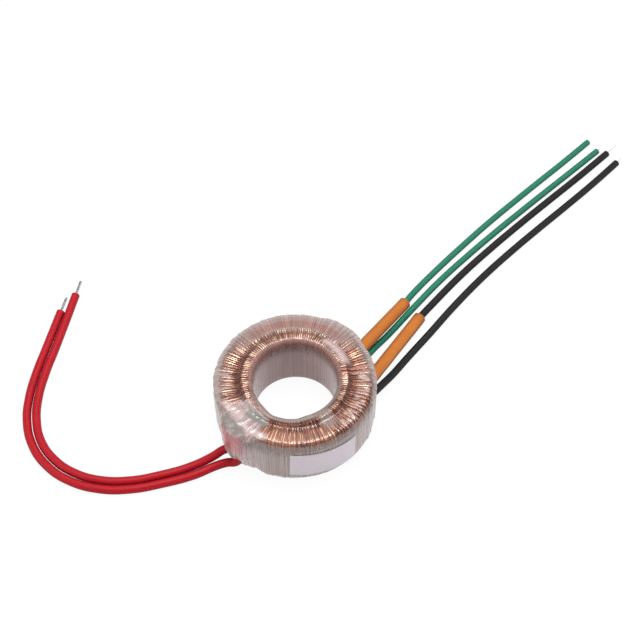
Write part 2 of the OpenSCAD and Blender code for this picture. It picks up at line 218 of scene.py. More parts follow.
def mottled_finish():
    """Node group for an uneven finish: blotches between two colours and two roughnesses,
    and a finer grain as a height."""
    group = bpy.data.node_groups.new("mottled_finish", "ShaderNodeTree")
    for socket, kind, way in (("Blotches", "NodeSocketFloat", "INPUT"),
                              ("Grain", "NodeSocketFloat", "INPUT"),
                              ("Detail", "NodeSocketFloat", "INPUT"),
                              ("Dark", "NodeSocketColor", "INPUT"),
                              ("Light", "NodeSocketColor", "INPUT"),
                              ("Smooth", "NodeSocketFloat", "INPUT"),
                              ("Rough", "NodeSocketFloat", "INPUT"),
                              ("Colour", "NodeSocketColor", "OUTPUT"),
                              ("Roughness", "NodeSocketFloat", "OUTPUT"),
                              ("Height", "NodeSocketFloat", "OUTPUT")):
        group.interface.new_socket(name=socket, in_out=way, socket_type=kind)
    nodes, links = group.nodes, group.links
    given = nodes.new("NodeGroupInput")
    out = nodes.new("NodeGroupOutput")
    place = nodes.new("ShaderNodeTexCoord")
    blotch = nodes.new("ShaderNodeTexNoise")
    grain = nodes.new("ShaderNodeTexNoise")
    for noisy, size in ((blotch, "Blotches"), (grain, "Grain")):
        links.new(given.outputs[size], noisy.inputs["Scale"])
        links.new(given.outputs["Detail"], noisy.inputs["Detail"])
        links.new(place.outputs["Object"], noisy.inputs["Vector"])
    tint = nodes.new("ShaderNodeMix")
    tint.data_type = "RGBA"
    links.new(blotch.outputs["Fac"], tint.inputs["Factor"])
    links.new(given.outputs["Dark"], tint.inputs["A"])
    links.new(given.outputs["Light"], tint.inputs["B"])
    links.new(tint.outputs["Result"], out.inputs["Colour"])
    rub = nodes.new("ShaderNodeMapRange")
    links.new(blotch.outputs["Fac"], rub.inputs["Value"])
    links.new(given.outputs["Smooth"], rub.inputs["To Min"])
    links.new(given.outputs["Rough"], rub.inputs["To Max"])
    links.new(rub.outputs["Result"], out.inputs["Roughness"])
    links.new(grain.outputs["Fac"], out.inputs["Height"])
    return group


mottled_group = mottled_finish()


def mottled(nodes, links, skin, scales, detail, dark, light, smooth, rough):
    """The mottled finish in a material, with the scales of its blotches and its grain."""
    uneven = nodes.new("ShaderNodeGroup")
    uneven.node_tree = mottled_group
    for socket, amount in (("Blotches", scales[0]), ("Grain", scales[1]), ("Detail", detail),
                           ("Dark", (*dark, 1)), ("Light", (*light, 1)),
                           ("Smooth", smooth), ("Rough", rough)):
        uneven.inputs[socket].default_value = amount
    links.new(uneven.outputs["Colour"], skin.inputs["Base Color"])
    links.new(uneven.outputs["Roughness"], skin.inputs["Roughness"])
    return uneven


def raised(nodes, links, height, depth, strength, skin):
    """Bump of that depth in millimetres, from a height value, on the Principled shader."""
    bump = nodes.new("ShaderNodeBump")
    bump.inputs["Strength"].default_value = strength
    bump.inputs["Distance"].default_value = depth * mm
    links.new(height, bump.inputs["Height"])
    links.new(bump.outputs["Normal"], skin.inputs["Normal"])


def soft_plastic(name, colour, darker, roughness, grain):
    """Extruded plastic: faint mottling, painted shade that darkens its flanks, and a skin that
    ripples a little.
    """
    made, nodes, links, skin = shader(name)
    skin.inputs["Specular IOR Level"].default_value = 0.18
    uneven = mottled(nodes, links, skin, (160, grain), 3, darker, colour,
                     roughness - 0.06, roughness + 0.08)
    raised(nodes, links, uneven.outputs["Height"], 0.1, 0.25, skin)
    # Painted shade: the colour goes towards a darker copy of itself where the surface turns away
    # from the view.
    turned = nodes.new("ShaderNodeLayerWeight")
    turned.inputs["Blend"].default_value = 0.5
    painted_flank_shade = nodes.new("ShaderNodeMapRange")
    painted_flank_shade.inputs["From Min"].default_value = 0.35
    painted_flank_shade.inputs["To Max"].default_value = 0.75
    links.new(turned.outputs["Facing"], painted_flank_shade.inputs["Value"])
    shaded = nodes.new("ShaderNodeMix")
    shaded.data_type = "RGBA"
    shaded.inputs["B"].default_value = (*[0.3 * part for part in darker], 1)
    links.new(painted_flank_shade.outputs["Result"], shaded.inputs["Factor"])
    links.new(uneven.outputs["Colour"], shaded.inputs["A"])
    links.new(shaded.outputs["Result"], skin.inputs["Base Color"])
    return made


def tinned(name, colour, roughness):
    """Dull tin over copper strands."""
    made, nodes, links, skin = shader(name)
    skin.inputs["Metallic"].default_value = 0.9
    mottled(nodes, links, skin, (1500, 1500), 2, [0.6 * part for part in colour], colour,
            roughness - 0.1, roughness + 0.1)
    return made


red_d = 2.65
red_run_top = 13.2
red_run_bottom = 5.6
binding_depth = 0.96
red_run_r = ring_r - binding_depth + 0.15 + red_d / 2
red_pvc = soft_plastic("red_pvc", (0.35, 0.0025, 0.009), (0.27, 0.0018, 0.0072), 0.5, 900)
tin = tinned("tinned_strands", (0.26, 0.25, 0.24), 0.42)
red_steps = {
    "a": [(-3.9, 1.5, 4.3), (-7.3, 0, 2.8), (-13.6, -2.6, 1.4), (-22.6, -5.6, 1.4),
          (-31.4, -7.4, 1.4), (-39.9, -7.3, 1.4), (-48, -4.8, 1.4), (-54.5, -0.3, 1.4),
          (-59.3, 6.1, 1.4), (-61.7, 13.7, 1.4), (-62.2, 21.6, 1.4), (-61.3, 30.1, 1.4),
          (-59.5, 39.4, 1.4), (-57.3, 51.2, 1.4), (-55.5, 61.4, 1.4)],
    "b": [(-0.6, -2, 3), (-2.9, -1.9, 2.5), (-6, -2.5, 1.8), (-12.7, -5.5, 1.4),
          (-21.8, -8.3, 1.4), (-31.1, -10.2, 1.4), (-40.2, -10.1, 1.4), (-49.2, -7.4, 1.4),
          (-56.5, -2.3, 1.4), (-61.8, 4.9, 1.4), (-64.5, 13.2, 1.4), (-65, 21.7, 1.4),
          (-64.1, 30.5, 1.4), (-62.3, 40, 1.4), (-59.5, 54.5, 1.4)]}
for side, arc in (("a", -2.1), ("b", 2.1)):
    az = wall_az(primary_az, arc)
    route = [around(red_run_r, az, red_run_top), around(red_run_r, az, red_run_bottom)]
    route += laid_out(primary_az, red_steps[side])
    lead = laid_lead("primary_lead_" + side, route, red_d, red_pvc)
    end = stranded_end("primary_end_" + side, route, 6, 0.8, 7, ord(side), tin)
    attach(lead, "root")
    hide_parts("red_lead_" + side)
    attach(end, "root")
    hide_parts("red_end_" + side)

# Secondary leads: a green pair and a black pair of thinner stranded wire. They leave the
# wall side by side and lie straight, and each is stripped and tinned at its tip.

green_pvc = soft_plastic("green_pvc", (0.0115, 0.15, 0.09), (0.0088, 0.112, 0.068), 0.5, 1100)
black_pvc = soft_plastic("black_pvc", (0.005, 0.0044, 0.0046), (0.0032, 0.0028, 0.003), 0.55, 1000)
bright_tin = tinned("bright_tinned_strands", (0.72, 0.71, 0.69), 0.34)
secondary_steps = {
    "green_lead_a": [(14.2, 28.7, 2.05), (17.5, 33.8, 1.1), (26.3, 44.2, 1.1),
                     (35.4, 54.3, 1.1), (44.7, 64.2, 1.1), (54.3, 73.8, 1.1),
                     (64, 83.3, 1.1), (73.8, 92.8, 1.1), (83.4, 102.4, 1.1)],
    "green_lead_b": [(3.5, 9.8, 2.9), (8.1, 16, 1.4), (17.1, 27.5, 1.1), (26.1, 38.4, 1.1),
                     (35.7, 48.8, 1.1), (45.5, 58.8, 1.1), (55.6, 68.7, 1.1),
                     (65.7, 78.4, 1.1), (75.9, 88.1, 1.1), (86.1, 97.9, 1.1)],
    "black_lead_a": [(18.7, 22.7, 2.05), (23.1, 28.7, 1.23), (33.3, 40.8, 1.23),
                     (44.1, 52.3, 1.23), (55.3, 63.5, 1.23), (66.7, 74.5, 1.23),
                     (78.1, 85.4, 1.23), (89.4, 96.6, 1.23)],
    "black_lead_b": [(6.1, -4, 4.1), (9, 0, 2.8), (14.2, 7.4, 1.6), (21.2, 16.4, 1.23),
                     (30.3, 28.1, 1.23), (39.9, 39.4, 1.23), (50.1, 50.2, 1.23),
                     (60.6, 60.6, 1.23), (71.3, 70.9, 1.23), (81.9, 81.3, 1.23),
                     (92.2, 92, 1.23)]}
# Arc along the wall, whether it is sleeved, width, insulation and length of its tinned tip.
lead_facts = {
    "green_lead_a": (5.2, True, 2.1, green_pvc, 1.0),
    "green_lead_b": (2.2, False, 2.1, green_pvc, 1.5),
    "black_lead_a": (-4.5, True, 2.35, black_pvc, 6.0),
    "black_lead_b": (-9.0, False, 2.35, black_pvc, 3.0)}
sleeve_lines = {}
for count, (name, (arc, sleeved, width, finish, bare)) in enumerate(lead_facts.items()):
    az = wall_az(secondary_az, arc)
    steps = laid_out(secondary_az, secondary_steps[name])
    if sleeved:
        start = around(ring_r + 0.5, az, 7)
        sleeve_lines[name] = (start, steps[0])
        route = [start, start.lerp(steps[0], 0.5)] + steps
    else:
        route = [around(ring_r - film_t + 0.15, az, 5.5)] + steps
    lead = laid_lead(name + "_wire", route, width, finish)
    end = stranded_end(name + "_tip", route, bare, 0.5, 7, 20 + count, bright_tin)
    colour = name.split("_")[0]
    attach(lead, "root")
    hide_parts(name)
    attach(end, "root")
    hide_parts(name.replace("lead", "end"))

# Orange sleeves: short lengths of silicone tubing pushed over one green and one black
# lead, to guard them where they leave the turns. They are cut square by hand.

orange_rubber = soft_plastic("orange_rubber", (0.43, 0.135, 0.023), (0.32, 0.095, 0.0135),
                             0.55, 700)
inner = 1.5
outer = 2.0
for lead_name, (start, stop) in sleeve_lines.items():
    run = (stop - start).normalized()
    length = (stop - start).length
    tube = bmesh.new()
    rim = [(inner, -1), (outer, -1), (outer, length * 0.5), (outer, length - 0.12),
           (outer - 0.12, length), (inner + 0.1, length), (inner, length - 0.1)]
    loop = [tube.verts.new((r, 0, h)) for r, h in rim]
    edges = [tube.edges.new((loop[i - 1], loop[i])) for i in range(len(loop))]
    bmesh.ops.spin(tube, geom=loop + edges, cent=(0, 0, 0), axis=(0, 0, 1),
                   angle=2 * math.pi, steps=40, use_merge=True)
    long_edges = [e for e in tube.edges if abs(e.verts[0].co.z - e.verts[1].co.z) > 8]
    bmesh.ops.subdivide_edges(tube, edges=long_edges, cuts=5, use_grid_fill=True)
    bmesh.ops.remove_doubles(tube, verts=tube.verts, dist=0.001)
    bmesh.ops.recalc_face_normals(tube, faces=tube.faces)
    turn = Vector((0, 0, 1)).rotation_difference(run).to_matrix().to_4x4()
    for vert in tube.verts:
        wobble = noise.noise(Vector((vert.co.x * 0.2, vert.co.y * 0.2, vert.co.z * 0.25 + start.x)))
        vert.co.x *= 1 + 0.02 * wobble
        vert.co.y *= 1 - 0.02 * wobble
    bmesh.ops.transform(tube, matrix=Matrix.Scale(mm, 4) @ Matrix.Translation(start) @ turn,
                        verts=tube.verts)
    colour = lead_name.split("_")[0]
    sleeve = keep(colour + "_lead_sleeve", tube, orange_rubber)
    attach(sleeve, "root")
    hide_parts(colour + "_sleeve")

# Wound core: silicon steel strip rolled into a ring, with a nylon cap pushed on from
# each side so that the wire isn't cut by the strip's edges.


def ring_frame():
    """Node group that gives the radius round the ring in millimetres, a spoke vector that
    is the same all along one turn, and streaks that change from turn to turn."""
    group = bpy.data.node_groups.new("ring_frame", "ShaderNodeTree")
    for socket, kind, way in (("Scale", "NodeSocketFloat", "INPUT"),
                              ("Detail", "NodeSocketFloat", "INPUT"),
                              ("Spoke", "NodeSocketVector", "OUTPUT"),
                              ("Radius", "NodeSocketFloat", "OUTPUT"),
                              ("Streak", "NodeSocketFloat", "OUTPUT")):
        group.interface.new_socket(name=socket, in_out=way, socket_type=kind)
    nodes, links = group.nodes, group.links
    given = nodes.new("NodeGroupInput")
    out = nodes.new("NodeGroupOutput")
    place = nodes.new("ShaderNodeTexCoord")
    flat = nodes.new("ShaderNodeVectorMath")
    flat.operation = "MULTIPLY"
    flat.inputs[1].default_value = (1000, 1000, 0)
    links.new(place.outputs["Object"], flat.inputs[0])
    radius = nodes.new("ShaderNodeVectorMath")
    radius.operation = "LENGTH"
    links.new(flat.outputs["Vector"], radius.inputs[0])
    links.new(radius.outputs["Value"], out.inputs["Radius"])
    spoke = nodes.new("ShaderNodeVectorMath")
    spoke.operation = "NORMALIZE"
    links.new(flat.outputs["Vector"], spoke.inputs[0])
    links.new(spoke.outputs["Vector"], out.inputs["Spoke"])
    streak = nodes.new("ShaderNodeTexNoise")
    links.new(given.outputs["Scale"], streak.inputs["Scale"])
    links.new(given.outputs["Detail"], streak.inputs["Detail"])
    links.new(spoke.outputs["Vector"], streak.inputs["Vector"])
    links.new(streak.outputs["Fac"], out.inputs["Streak"])
    return group


ring_group = ring_frame()


def round_ring(nodes, scale, detail):
    """The ring's group placed in a material, with the scale and detail of its streaks."""
    ring = nodes.new("ShaderNodeGroup")
    ring.node_tree = ring_group
    ring.inputs["Scale"].default_value = scale
    ring.inputs["Detail"].default_value = detail
    return ring


def two_tone(nodes, links, value, dark, light, target=None):
    """A colour between dark and light, chosen by value, into the target if there is one."""
    tint = nodes.new("ShaderNodeMix")
    tint.data_type = "RGBA"
    tint.inputs["A"].default_value = (*dark, 1)
    tint.inputs["B"].default_value = (*light, 1)
    links.new(value, tint.inputs["Factor"])
    if target:
        links.new(tint.outputs["Result"], target)
    return tint.outputs["Result"]


def spread(nodes, links, value, low, high, target):
    """The value, which runs from 0 to 1, spread from low to high into the target socket."""
    span = nodes.new("ShaderNodeMapRange")
    span.inputs["To Min"].default_value = low
    span.inputs["To Max"].default_value = high
    links.new(value, span.inputs["Value"])
    links.new(span.outputs["Result"], target)


def refinish(node, finish):
    """A CAD node keeps its shape and gets this finish."""
    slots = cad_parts[node].material_slots
    for slot in slots:
        slot.material = finish
    if not slots:
        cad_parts[node].data.materials.append(finish)


steel, nodes, links, skin = shader("rolled_steel_strip")
skin.inputs["Metallic"].default_value = 1.0
ring = round_ring(nodes, 50, 2)
turns = nodes.new("ShaderNodeMath")
turns.operation = "PINGPONG"
turns.inputs[1].default_value = 0.15
links.new(ring.outputs["Radius"], turns.inputs[0])
spread(nodes, links, turns.outputs[0], 0.32, 0.55, skin.inputs["Roughness"])
two_tone(nodes, links, turns.outputs[0], (0.13, 0.14, 0.16), (0.32, 0.33, 0.36),
         skin.inputs["Base Color"])
raised(nodes, links, turns.outputs[0], 0.05, 0.5, skin)
refinish("core", steel)

nylon, nodes, links, skin = shader("cream_nylon")
flow = mottled(nodes, links, skin, (220, 220), 3, (0.72, 0.66, 0.5), (0.82, 0.77, 0.62),
               0.35, 0.5)
raised(nodes, links, flow.outputs["Height"], 0.05, 0.2, skin)
refinish("core_cap_upper", nylon)
refinish("core_cap_lower", nylon)

# Primary: many layers of fine enamelled wire wound through the ring, which crowd in the
# bore and thin out on the wall, bound over with a layer of dark polyester tape.

ring_h = 20.4
bore_r = 12.4
ridge_w = 4.4
ridge_r = 1.6
field_drop = 0.8
edge_r = 2.3
mid_z = ring_h / 2


def arc_points(centre, radius, start, stop, count):
    """Points along an arc, given in degrees, in the plane of radius and height."""
    return [(centre[0] + radius * math.cos(math.radians(start + (stop - start) * i / count)),
             centre[1] + radius * math.sin(math.radians(start + (stop - start) * i / count)))
            for i in range(count + 1)]


def outside_of_ring():
    """Half section of the wound ring over its upper side, from the middle of the wall
    to the middle of the bore."""
    field = ring_h - field_drop
    wall = [(ring_r, z) for z in (mid_z, 11.7, 13.2, 14.6, 16)]
    edge = arc_points((ring_r - edge_r, field - edge_r), edge_r, 0, 90, 7)
    slope = [(20.4, field - 0.03), (19.4, field - 0.11), (18.4, field - 0.25),
             (17.7, field - 0.37), (17.15, field - 0.38), (16.75, field - 0.2)]
    ridge = arc_points((bore_r + ridge_w - ridge_r, ring_h - ridge_r), ridge_r, 28, 90, 4)
    bore = arc_points((bore_r + ridge_r, ring_h - ridge_r), ridge_r, 90, 180, 7)
    inside = [(bore_r, z) for z in (17.8, 16.8, 15.8, 14.8, 13.8, 12.8, 11.5, mid_z)]
    return wall + edge + slope + ridge + bore + inside


def whole_section(depth):
    """The closed section of a layer that lies that deep under the outside."""
    half = outside_of_ring()
    loop = half + [(r, ring_h - z) for r, z in reversed(half[1:-1])]
    layer = []
    for i, (r, z) in enumerate(loop):
        before, after = loop[i - 1], loop[(i + 1) % len(loop)]
        run = Vector((after[0] - before[0], after[1] - before[1])).normalized()
        layer.append((r - depth * run.y, z + depth * run.x))
    return layer


def between(value, low, high):
    """0 at low and 1 at high, with a soft start and finish."""
    part = min(1, max(0, (value - low) / (high - low)))
    return part * part * (3 - 2 * part)


def window(value, start, full, fading, end):
    """1 from full to fading, with soft flanks down to 0 at start and at end."""
    return between(value, start, full) * (1 - between(value, fading, end))


def by_azimuth(table, az):
    """The value at az from a table of azimuths and values that goes right round."""
    table = [(table[-1][0] - 360, table[-1][1])] + table + [(table[0][0] + 360, table[0][1])]
    for (a0, v0), (a1, v1) in zip(table, table[1:]):
        if a0 <= az <= a1:
            return v0 + (v1 - v0) * (az - a0) / (a1 - a0)


# How far the turns beside the bore have sunk and spread, by azimuth.
sunk = [(-175, 0.06), (-153, 0.25), (-133, 0.5), (-118, 1.0), (-102, 0.95), (-87, 0.86),
        (-77, 0.56), (-64, 0.5), (-40, 0.45), (-22, 0.35), (5, 0.1), (60, 0.0), (120, 0.0)]


def settled(place):
    """Where a point of the wound layers comes to lie once the turns have settled."""
    r = math.hypot(place.x, place.y)
    share = by_azimuth(sunk, math.degrees(math.atan2(place.y, place.x)))
    share *= 1 - between(r, 13.6, 17.4)
    moved = r + 1.2 * share * between(place.z, 9, 18.5)
    drop = 1.3 * share * between(place.z, 14, 19)
    return Vector((place.x * moved / r, place.y * moved / r, place.z - drop))


def spun_layer(depth, steps):
    """A layer of the ring as a closed bmesh, in millimetres, before it has settled."""
    made = bmesh.new()
    rim = [made.verts.new((r, 0, z)) for r, z in whole_section(depth)]
    loop = [made.edges.new((rim[i - 1], rim[i])) for i in range(len(rim))]
    bmesh.ops.spin(made, geom=rim + loop, cent=(0, 0, 0), axis=(0, 0, 1),
                   angle=2 * math.pi, steps=steps, use_merge=True)
    bmesh.ops.remove_doubles(made, verts=made.verts, dist=0.0005)
    bmesh.ops.recalc_face_normals(made, faces=made.faces)
    return made


def settle(made):
    for vert in made.verts:
        vert.co = settled(vert.co)


def to_metres(made):
    bmesh.ops.scale(made, vec=(mm, mm, mm), verts=made.verts)


fine_wire, nodes, links, skin = shader("fine_enamelled_wire")
skin.inputs["Metallic"].default_value = 1.0
ring = round_ring(nodes, 55, 3)
two_tone(nodes, links, ring.outputs["Streak"], (0.2, 0.06, 0.025), (0.5, 0.2, 0.09),
         skin.inputs["Base Color"])
spread(nodes, links, ring.outputs["Streak"], 0.3, 0.45, skin.inputs["Roughness"])
raised(nodes, links, ring.outputs["Streak"], 0.15, 0.6, skin)
primary = spun_layer(binding_depth + 0.25, 160)
settle(primary)
to_metres(primary)
coil = keep("primary_coil", primary, fine_wire)
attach(coil, "root")
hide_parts("primary_winding")

for side, arc in (("a", -2.1), ("b", 2.1)):
    az = wall_az(primary_az, arc)
    tail = laid_lead("primary_tail_" + side,
                     [around(22.4, az, 17.05), around(24, az, 17.6), around(red_run_r, az, 17.5),
                      around(red_run_r, az, 16.9), around(red_run_r, az, red_run_top + 1.2)],
                     0.4, fine_wire)
    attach(tail, "root")
    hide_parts("primary_winding")

brown_tape, nodes, links, skin = shader("brown_polyester_tape")
skin.inputs["Coat Weight"].default_value = 0.4
skin.inputs["Coat Roughness"].default_value = 0.15
ring = round_ring(nodes, 26, 4)
two_tone(nodes, links, ring.outputs["Streak"], (0.14, 0.036, 0.016), (0.4, 0.13, 0.065),
         skin.inputs["Base Color"])
spread(nodes, links, ring.outputs["Streak"], 0.22, 0.4, skin.inputs["Roughness"])
raised(nodes, links, ring.outputs["Streak"], 0.12, 0.5, skin)
binding = spun_layer(binding_depth, 180)
for vert in binding.verts:
    az = math.degrees(math.atan2(vert.co.y, vert.co.x))
    lap = (az % 12) / 12
    out = vert.co.copy()
    out.z = 0
    vert.co -= out.normalized() * 0.04 * lap * (1 if out.length > 18 else -1)
settle(binding)
to_metres(binding)
tape = keep("primary_binding", binding, brown_tape)
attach(tape, "root")
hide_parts("primary_tape")

# Secondaries: two enamelled copper wires wound together, turn beside turn, through the
# ring. Each turn goes up the wall, over the face, down the bore one place further on,
# and back under the ring. They leave a free sector where the primary leads come down.

wire_d = 0.46
wire_depth = film_t + 0.1 + wire_d / 2
slot_az = 360 / 72
pad_half = 17
crossing_slant = 6
chance = random.Random(24)


def turn_numbers(start_az, end_az, shift):
    """Numbers of the places, each slot_az wide, that one winding's turns take."""
    first = round((start_az - shift) / slot_az)
    last = round((end_az - shift) / slot_az)
    return [k for k in range(first, last)
            if abs((k + 0.25) * slot_az - (primary_az + 360)) > pad_half]


def turn_line():
    """One turn at the wire's depth as (radius, height), from the middle of the wall over
    the top, and then from the middle of the bore under the bottom back to the wall."""
    loop = whole_section(wire_depth)
    half = len(outside_of_ring())
    return loop[:half], loop[half - 1:] + loop[:1]


over, under = turn_line()


def loose(r, out_play, bore_play):
    """Sideways play of a turn in degrees: it is held in the bore and free on the wall."""
    return bore_play + (out_play - bore_play) * between(r, 13.5, 20)


def wound_wire(name, start_az, end_az, shift):
    """One secondary as a single line of wire, with the small play of a hand-set turn."""
    numbers = turn_numbers(start_az, end_az, shift)
    places = [k * slot_az + shift for k in numbers]
    stops = places[1:] + [places[-1] + slot_az]
    spots = [around(ring_r - wire_depth, places[0], 7)]
    sway = [chance.uniform(-0.7, 0.7) + 1.5 * noise.noise(Vector((0.9 * k, shift, 3)))
            for k in range(len(places) + 1)]
    tuck = [chance.uniform(-1, 1) for _ in range(len(places) + 1)]
    lift = [chance.uniform(0, 1) for _ in range(len(places) + 1)]
    for i, (here, there) in enumerate(zip(places, stops)):
        for r, z in over:
            az = here + loose(r, 0.75 * sway[i], 0.2 * tuck[i])
            rise = 0.12 * lift[i] * window(r, 13, 15, 20, 21.5)
            spots.append(settled(around(r, az, z - rise)))
        steps = max(1, round((there - here) / slot_az))
        for k in range(1, steps):
            part = k / steps
            spots.append(around(bore_r + wire_depth, here + part * (there - here),
                                mid_z + crossing_slant * (1 - 2 * part)))
        for r, z in under:
            az = there + loose(r, 0.75 * sway[i + 1], 0.2 * tuck[i + 1])
            spots.append(around(r, az, z))
    spots.append(around(ring_r - wire_depth, places[-1] + slot_az, 5.5))
    line = bpy.data.curves.new(name, "CURVE")
    line.dimensions = "3D"
    line.bevel_depth = wire_d / 2 * mm
    line.bevel_resolution = 2
    line.use_fill_caps = True
    spline = line.splines.new("POLY")
    spline.points.add(len(spots) - 1)
    for knot, place in zip(spline.points, spots):
        knot.co = (*(place * mm), 1)
    line.materials.append(copper)
    wire = bpy.data.objects.new(name, line)
    scene.collection.objects.link(wire)
    return wire


copper, nodes, links, skin = shader("enamelled_copper_wire")
skin.inputs["Metallic"].default_value = 0.9
skin.inputs["Coat Roughness"].default_value = 0.11
ring = round_ring(nodes, 42, 3)
# Tone that differs from turn to turn, broken up by blotches. Its light end, near white, also stands
# for painted glints on the wires.
sharper = nodes.new("ShaderNodeMapRange")
sharper.inputs["From Min"].default_value = 0.44
sharper.inputs["From Max"].default_value = 0.58
place = nodes.new("ShaderNodeTexCoord")
blotch = nodes.new("ShaderNodeTexNoise")
blotch.inputs["Scale"].default_value = 420
blotch.inputs["Detail"].default_value = 2
links.new(place.outputs["Object"], blotch.inputs["Vector"])
uneven = nodes.new("ShaderNodeMix")
uneven.inputs["Factor"].default_value = 0.4
links.new(ring.outputs["Streak"], uneven.inputs["A"])
links.new(blotch.outputs["Fac"], uneven.inputs["B"])
links.new(uneven.outputs["Result"], sharper.inputs["Value"])
# Painted light by radius, with one ramp for the near side and the sides (A) and one for the far
# side (B): painted glints on the ridge and hump, painted shade in the valley between them, on the
# far hump and at the outer edge, and darker reddish brown at the bore's lip. The same ramps set the
# coat.
inwards = nodes.new("ShaderNodeMapRange")
inwards.inputs["From Min"].default_value = bore_r
inwards.inputs["From Max"].default_value = ring_r
links.new(ring.outputs["Radius"], inwards.inputs["Value"])
split = nodes.new("ShaderNodeSeparateXYZ")
links.new(ring.outputs["Spoke"], split.inputs["Vector"])
away = nodes.new("ShaderNodeMapRange")
away.interpolation_type = "SMOOTHSTEP"
away.inputs["From Min"].default_value = 0.45
away.inputs["From Max"].default_value = 0.85
links.new(split.outputs["Y"], away.inputs["Value"])
painted_light_by_radius = nodes.new("ShaderNodeMix")
painted_light_by_radius.data_type = "RGBA"
links.new(away.outputs["Result"], painted_light_by_radius.inputs["Factor"])
for socket, stops in (
        ("A", ((12.4, 0.6, 0.26, 0.2), (13.1, 0.42, 0.19, 0.15), (13.6, 0.5, 0.3, 0.24),
               (14.4, 0.72, 0.6, 0.55), (15.3, 0.9, 0.84, 0.82), (15.9, 0.27, 0.13, 0.095),
               (17.8, 0.3, 0.16, 0.12), (19.0, 0.9, 0.76, 0.66), (21.5, 0.62, 0.5, 0.44),
               (22.6, 0.5, 0.34, 0.27), (23.0, 0.35, 0.2, 0.16), (23.3, 0.7, 0.5, 0.4))),
        ("B", ((12.4, 0.9, 0.4, 0.33), (13.1, 0.6, 0.24, 0.2), (13.7, 0.9, 0.86, 0.84),
               (15.2, 1.0, 0.98, 0.97), (17.9, 1.0, 0.95, 0.92), (18.7, 0.14, 0.06, 0.04),
               (20.6, 0.16, 0.08, 0.06), (22.6, 0.3, 0.2, 0.17)))):
    ramp = nodes.new("ShaderNodeValToRGB")
    for k, (r, *tint) in enumerate(stops):
        part = (r - bore_r) / (ring_r - bore_r)
        stop = ramp.color_ramp.elements[0] if k == 0 else ramp.color_ramp.elements.new(part)
        stop.position = part
        stop.color = (*tint, 1)
    ramp.color_ramp.elements.remove(ramp.color_ramp.elements[-1])
    links.new(inwards.outputs["Result"], ramp.inputs["Fac"])
    links.new(ramp.outputs["Color"], painted_light_by_radius.inputs[socket])
# The streaky tone multiplied by the painted light.
tone_times_painted_light = nodes.new("ShaderNodeMix")
tone_times_painted_light.data_type = "RGBA"
tone_times_painted_light.blend_type = "MULTIPLY"
tone_times_painted_light.inputs["Factor"].default_value = 1.0
two_tone(nodes, links, sharper.outputs["Result"], (0.22, 0.075, 0.035), (1.0, 0.74, 0.58),
         tone_times_painted_light.inputs["A"])
links.new(painted_light_by_radius.outputs["Result"], tone_times_painted_light.inputs["B"])
links.new(tone_times_painted_light.outputs["Result"], skin.inputs["Base Color"])
links.new(painted_light_by_radius.outputs["Result"], skin.inputs["Coat Weight"])
scuff = nodes.new("ShaderNodeTexNoise")
scuff.inputs["Scale"].default_value = 700
scuff.inputs["Detail"].default_value = 3
links.new(place.outputs["Object"], scuff.inputs["Vector"])
spread(nodes, links, scuff.outputs["Fac"], 0.22, 0.42, skin.inputs["Roughness"])
raised(nodes, links, scuff.outputs["Fac"], 0.03, 0.4, skin)

for name, start_arc, end_arc, shift in (("green_winding", 5.2, 2.2, 0),
                                        ("black_winding", -4.5, -9.0, slot_az / 2)):
    wire = wound_wire(name.split("_")[0] + "_secondary_wire", wall_az(secondary_az, start_arc),
                      wall_az(secondary_az, end_arc) + 360, shift)
    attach(wire, "root")
    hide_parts(name)

# Soldered joints: inside the pad each end of the fine primary wire is wrapped round the
# tinned start of its red lead and soldered, and a short white glass sleeve is pushed over.

solder, nodes, links, skin = shader("dull_solder")
skin.inputs["Metallic"].default_value = 0.9
lumps = mottled(nodes, links, skin, (1800, 1800), 3, (0.34, 0.34, 0.36), (0.62, 0.62, 0.64),
                0.3, 0.5)
raised(nodes, links, lumps.outputs["Height"], 0.08, 0.6, skin)

glass_cloth, nodes, links, skin = shader("white_glass_sleeving")
place = nodes.new("ShaderNodeTexCoord")
weave = nodes.new("ShaderNodeTexWave")
weave.wave_type = "RINGS"
weave.rings_direction = "Z"
weave.bands_direction = "Z"
weave.inputs["Scale"].default_value = 900
weave.inputs["Distortion"].default_value = 4
links.new(place.outputs["Object"], weave.inputs["Vector"])
two_tone(nodes, links, weave.outputs["Fac"], (0.6, 0.58, 0.52), (0.8, 0.79, 0.75),
         skin.inputs["Base Color"])
spread(nodes, links, weave.outputs["Fac"], 0.55, 0.75, skin.inputs["Roughness"])
raised(nodes, links, weave.outputs["Fac"], 0.05, 0.5, skin)
for side in "ab":
    refinish("solder_joint_" + side, solder)
    refinish("joint_sleeve_" + side, glass_cloth)

# Pad over the joints: a strip of soft grey foam, folded over the red leads where they
# come down the wall, so that they don't press into the turns. The film holds it.

pad_span = 2 * (pad_half - 1)
pad_depth = film_t + 0.06


def blister_rise(az, height_share):
    """How far the film stands off the wall over the red leads, in millimetres."""
    off = abs((az - primary_az + 180) % 360 - 180)
    reach = 2.66 * max(0, 1 - (off / 16.2) ** 2)
    return reach * height_share


def foam_face(r, az, z):
    """Lumpiness of the foam, from -1 to 1."""
    return noise.noise(Vector((r * math.cos(math.radians(az)) * 0.45,
                               r * math.sin(math.radians(az)) * 0.45, z * 0.4)))


